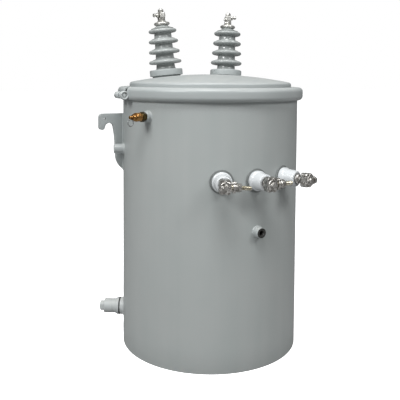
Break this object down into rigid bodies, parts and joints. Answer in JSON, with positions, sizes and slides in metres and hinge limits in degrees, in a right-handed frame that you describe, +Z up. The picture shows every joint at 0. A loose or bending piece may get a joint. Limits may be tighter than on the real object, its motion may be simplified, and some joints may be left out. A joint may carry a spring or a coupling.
{
  "type": "pole mounted transformer",
  "caption": "Single-phase pole mounted oil transformer: round tank, clamped domed cover, high-voltage bushings on top and low-voltage bushings in front.",
  "frame": {"origin": "centre of the tank's underside, on the tank axis", "axes": "+Z up along the tank; +Y towards the pole; the low-voltage side faces -Y; +X is to the right seen from the low-voltage side"},
  "size_m": [0.609, 0.646, 0.9615],
  "materials": {
    "tank_paint": "light grey baked enamel, satin",
    "grey_porcelain": "light grey glazed porcelain",
    "white_porcelain": "white glazed porcelain",
    "tinned_bronze": "tin-plated cast bronze, dull and slightly mottled",
    "zinc_plate": "zinc-plated steel",
    "brass": "bare brass, slightly tarnished",
    "rubber": "black nitrile rubber",
    "core_steel": "plain; sealed in the tank and never seen"
  },
  "bodies": {
    "root": {"tank_wall": "tank_paint", "tank_bottom": "tank_paint", "tank_rim": "tank_paint", "cover_gasket": "rubber", "cover": "tank_paint", "clamp_band": "tank_paint", "band_lug_front": "tank_paint", "band_lug_rear": "tank_paint", "band_bolt": "tank_paint", "band_nut": "tank_paint", "core_and_coils": "core_steel", "h1_flange": "tank_paint", "h1_porcelain": "grey_porcelain", "h1_cap": "tinned_bronze", "h1_terminal": "tinned_bronze", "h2_flange": "tank_paint", "h2_porcelain": "grey_porcelain", "h2_cap": "tinned_bronze", "h2_terminal": "tinned_bronze", "x1_gasket": "rubber", "x1_porcelain": "white_porcelain", "x1_stud": "tinned_bronze", "x1_clamp": "tinned_bronze", "x2_gasket": "rubber", "x2_porcelain": "white_porcelain", "x2_stud": "tinned_bronze", "x2_clamp": "tinned_bronze", "x3_gasket": "rubber", "x3_porcelain": "white_porcelain", "x3_stud": "tinned_bronze", "x3_clamp": "tinned_bronze", "relief_boss": "tank_paint", "relief_valve": "brass", "relief_ring": "zinc_plate", "lifting_lug_left": "tank_paint", "lifting_lug_right": "tank_paint", "side_boss_left": "tank_paint", "side_boss_right": "tank_paint", "support_lug_upper": "tank_paint", "support_lug_lower": "tank_paint", "drain_boss": "tank_paint", "drain_gasket": "rubber", "drain_valve": "tank_paint", "ground_boss": "tank_paint"}
  },
  "joints": []
}
